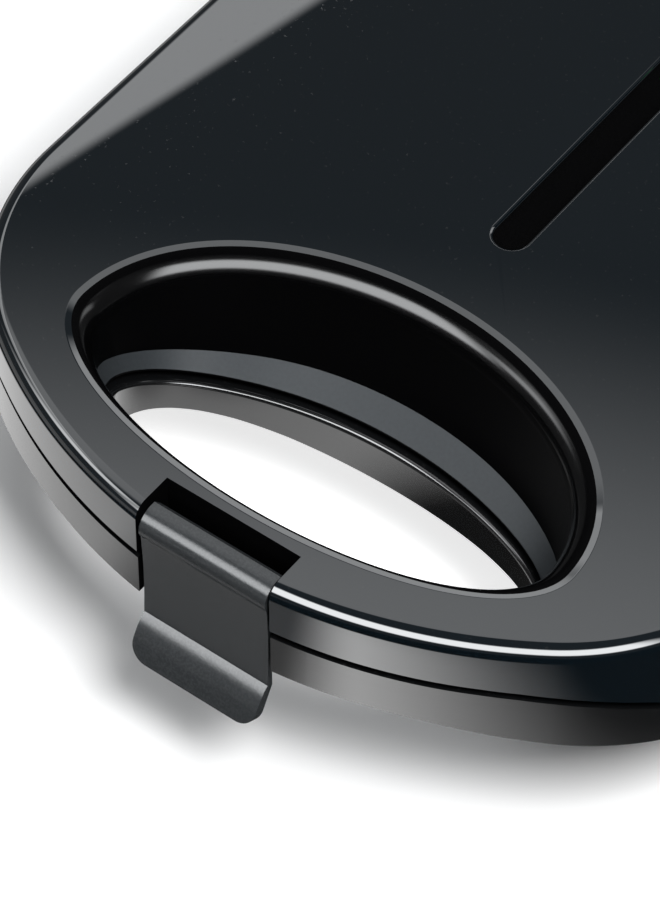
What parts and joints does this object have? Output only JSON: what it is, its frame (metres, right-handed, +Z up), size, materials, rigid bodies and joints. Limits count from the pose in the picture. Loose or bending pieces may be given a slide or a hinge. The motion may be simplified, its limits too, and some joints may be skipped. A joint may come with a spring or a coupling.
{
  "type": "electric sandwich maker",
  "caption": "Two hinged halves with ribbed non-stick cooking plates, a hand hole through the front handle and a clip latch that holds them shut.",
  "frame": {"origin": "on the table, below the middle of the closed maker's floor area", "axes": "+Z up, +Y from the handle to the hinge, +X to the right of someone facing the handle"},
  "size_m": [0.22, 0.2624, 0.082],
  "materials": {
    "gloss_black": "high gloss moulded",
    "base_black": "semi-gloss moulded",
    "latch_matte": "fine matte grain",
    "inner_black": "satin, heat resistant",
    "non_stick": "dark non-stick coating on a cast plate",
    "bright_aluminium": "bright rolled sheet",
    "steel": "plain zinc plated",
    "lens_red": "clear tinted",
    "lens_green": "clear tinted",
    "lamp_glass": "clear",
    "ceramic": "unglazed",
    "rubber_black": "matt"
  },
  "bodies": {
    "base": {"base_cover": "base_black", "base_liner": "inner_black", "lower_plate": "non_stick", "lower_element": "steel", "lower_reflector": "bright_aluminium", "thermostat": "steel", "thermal_fuse": "ceramic", "terminal_block": "ceramic", "cord_gland": "rubber_black", "bottom_cover": "inner_black", "foot_front_left": "rubber_black", "foot_back_left": "rubber_black", "foot_front_right": "rubber_black", "foot_back_right": "rubber_black", "bottom_screw_1": "steel", "bottom_screw_2": "steel", "bottom_screw_3": "steel", "bottom_screw_4": "steel", "base_screw_1": "steel", "base_screw_2": "steel", "base_screw_3": "steel", "base_screw_4": "steel", "hinge_pin_left": "steel", "hinge_pin_right": "steel"},
    "lid": {"lid_cover": "gloss_black", "lid_liner": "inner_black", "upper_plate": "non_stick", "upper_element": "steel", "upper_reflector": "bright_aluminium", "power_lamp_lens": "lens_red", "power_neon_lamp": "lamp_glass", "ready_lamp_lens": "lens_green", "ready_neon_lamp": "lamp_glass", "latch_pin": "steel", "lid_screw_1": "steel", "lid_screw_2": "steel", "lid_screw_3": "steel", "lid_screw_4": "steel"},
    "latch": {"latch": "latch_matte"}
  },
  "joints": [
    {"name": "lid_hinge", "type": "hinge", "parent": "base", "child": "lid", "pos_m": [0, 0.12569, 0.046], "axis": [-1, 0, 0], "range_deg": [0, 105]},
    {"name": "latch_pivot", "type": "hinge", "parent": "lid", "child": "latch", "pos_m": [0, -0.12031, 0.0754], "axis": [-1, 0, 0], "range_deg": [0, 35]}
  ]
}
